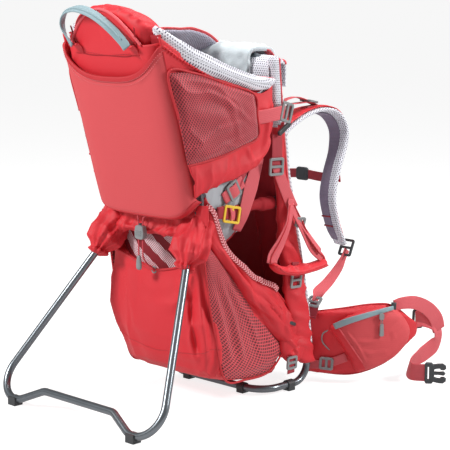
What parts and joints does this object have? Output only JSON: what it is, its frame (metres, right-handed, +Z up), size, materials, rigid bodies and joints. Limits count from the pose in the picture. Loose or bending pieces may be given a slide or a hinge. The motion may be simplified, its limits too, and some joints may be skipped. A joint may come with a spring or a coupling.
{
  "type": "child carrier backpack",
  "caption": "Framed child carrier backpack with a fold-in kickstand, padded cockpit, storage bag, shoulder harness and hip belt.",
  "frame": {"origin": "on the ground, in the middle of the whole in X and Y, with the kickstand open", "axes": "+X to the wearer's right, +Y the way the wearer faces, towards the shoulder straps, +Z up"},
  "size_m": [0.6874, 0.8382, 0.8063],
  "materials": {
    "tube": "anodised satin grey",
    "steel": "brushed",
    "dark_plastic": "moulded matte",
    "buckle": "moulded satin grey",
    "hip_buckle": "moulded satin dark grey",
    "yellow_plastic": "moulded satin yellow",
    "red_fabric": "plain woven nylon, coated",
    "coral_stretch": "fine stretch weave",
    "coral_mesh": "open mesh",
    "webbing": "ribbed webbing",
    "air_mesh": "3D spacer mesh, light with dark cells",
    "fleece": "brushed fleece",
    "grey_fabric": "plain weave, grey blue",
    "board": "sheet plastic"
  },
  "bodies": {
    "frame": {"back_hoop": "tube", "base_loop": "tube", "joiner_sleeves": "dark_plastic", "seat_arms": "tube", "seat_cross_tube": "tube", "frame_brackets": "dark_plastic", "hinge_brackets": "dark_plastic", "hinge_pins": "steel", "base_foot_clips": "dark_plastic", "back_board": "board", "back_panel": "air_mesh", "back_lining": "red_fabric", "lumbar_pad": "air_mesh", "cockpit_shell": "red_fabric", "cockpit_wire": "steel", "rim_pad": "air_mesh", "headrest_pad": "red_fabric", "seat_back_board": "board", "rear_pocket": "coral_stretch", "chin_pad": "fleece", "side_flaps": "red_fabric", "storage_bag": "red_fabric", "mesh_pockets": "coral_mesh", "child_harness": "webbing", "cockpit_straps": "webbing", "cockpit_buckles": "buckle", "panel_buckles": "buckle", "tail_webbing": "webbing", "drawcord": "webbing", "compression_straps": "buckle"},
    "kickstand": {"kickstand_tube": "tube", "kickstand_eyes": "dark_plastic", "kickstand_foot_clips": "dark_plastic", "kickstand_sleeves": "red_fabric"},
    "shoulder_harness": {"shoulder_strap_right": "air_mesh", "shoulder_strap_left": "air_mesh", "load_lifters": "webbing", "strap_buckles": "dark_plastic"},
    "sternum_strap": {"sternum_webbing": "webbing", "sternum_buckle": "buckle"},
    "hip_right": {"hip_wing_right": "red_fabric", "hip_pocket_right": "coral_stretch"},
    "hip_left": {"hip_wing_left": "red_fabric", "hip_pocket_left": "coral_stretch"},
    "zip_right": {"zip_pull_right": "grey_fabric"},
    "zip_left": {"zip_pull_left": "grey_fabric"},
    "hip_webbing_right": {"hip_strap_right": "webbing", "hip_adjuster_right": "buckle", "hip_buckle_male": "hip_buckle"},
    "hip_webbing_left": {"hip_strap_left": "webbing", "hip_adjuster_left": "buckle", "hip_buckle_female": "hip_buckle"},
    "handle": {"carry_handle": "grey_fabric"},
    "stirrup_right": {"stirrup_right": "webbing"},
    "stirrup_left": {"stirrup_left": "webbing"},
    "cord_lock": {"cord_lock": "buckle"},
    "cord_button": {"cord_lock_button": "dark_plastic"},
    "child_seat": {"seat_saddle": "fleece", "seat_adjuster": "yellow_plastic"}
  },
  "joints": [
    {"name": "kickstand_fold", "type": "hinge", "parent": "frame", "child": "kickstand", "pos_m": [0, -0.18915, 0.36], "axis": [1, 0, 0], "range_deg": [0, 52]},
    {"name": "shoulder_harness_swing", "type": "hinge", "parent": "frame", "child": "shoulder_harness", "pos_m": [0, 0.07185, 0.512], "axis": [1, 0, 0], "range_deg": [-10, 10]},
    {"name": "sternum_strap_height", "type": "slide", "parent": "shoulder_harness", "child": "sternum_strap", "axis": [0, 0.4, 0.9165], "range_m": [-0.02, 0.02]},
    {"name": "hip_wing_right_swing", "type": "hinge", "parent": "frame", "child": "hip_right", "pos_m": [0.104, 0.15185, 0.09], "axis": [0, 0, 1], "range_deg": [-20, 30]},
    {"name": "hip_wing_left_swing", "type": "hinge", "parent": "frame", "child": "hip_left", "pos_m": [-0.104, 0.15185, 0.09], "axis": [0, 0, -1], "range_deg": [-20, 30]},
    {"name": "pocket_zip_right", "type": "hinge", "parent": "hip_right", "child": "zip_right", "pos_m": [0.042, 0.33185, 0.12], "axis": [0, 0, 1], "range_deg": [-10, 30]},
    {"name": "pocket_zip_left", "type": "hinge", "parent": "hip_left", "child": "zip_left", "pos_m": [-0.042, 0.33185, 0.12], "axis": [0, 0, -1], "range_deg": [-10, 30]},
    {"name": "hip_webbing_right_swing", "type": "hinge", "parent": "hip_right", "child": "hip_webbing_right", "pos_m": [0.231, 0.36985, 0.116], "axis": [0, 0, 1], "range_deg": [-15, 35]},
    {"name": "hip_webbing_left_swing", "type": "hinge", "parent": "hip_left", "child": "hip_webbing_left", "pos_m": [-0.231, 0.36985, 0.116], "axis": [0, 0, -1], "range_deg": [-15, 35]},
    {"name": "handle_fold", "type": "hinge", "parent": "frame", "child": "handle", "pos_m": [0, -0.32815, 0.716], "axis": [1, 0, 0], "range_deg": [0, 100]},
    {"name": "stirrup_right_swing", "type": "hinge", "parent": "frame", "child": "stirrup_right", "pos_m": [0.168, 0.03785, 0.388], "axis": [1, 0, 0], "range_deg": [-25, 35]},
    {"name": "stirrup_left_swing", "type": "hinge", "parent": "frame", "child": "stirrup_left", "pos_m": [-0.168, 0.03785, 0.388], "axis": [1, 0, 0], "range_deg": [-25, 35]},
    {"name": "cord_lock_slide", "type": "slide", "parent": "frame", "child": "cord_lock", "axis": [0, 0, 1], "range_m": [-0.03, 0.006]},
    {"name": "cord_lock_press", "type": "slide", "parent": "cord_lock", "child": "cord_button", "axis": [0, 0, -1], "range_m": [0, 0.003]},
    {"name": "child_seat_height", "type": "slide", "parent": "frame", "child": "child_seat", "axis": [0, 0, 1], "range_m": [-0.03, 0.03]}
  ]
}
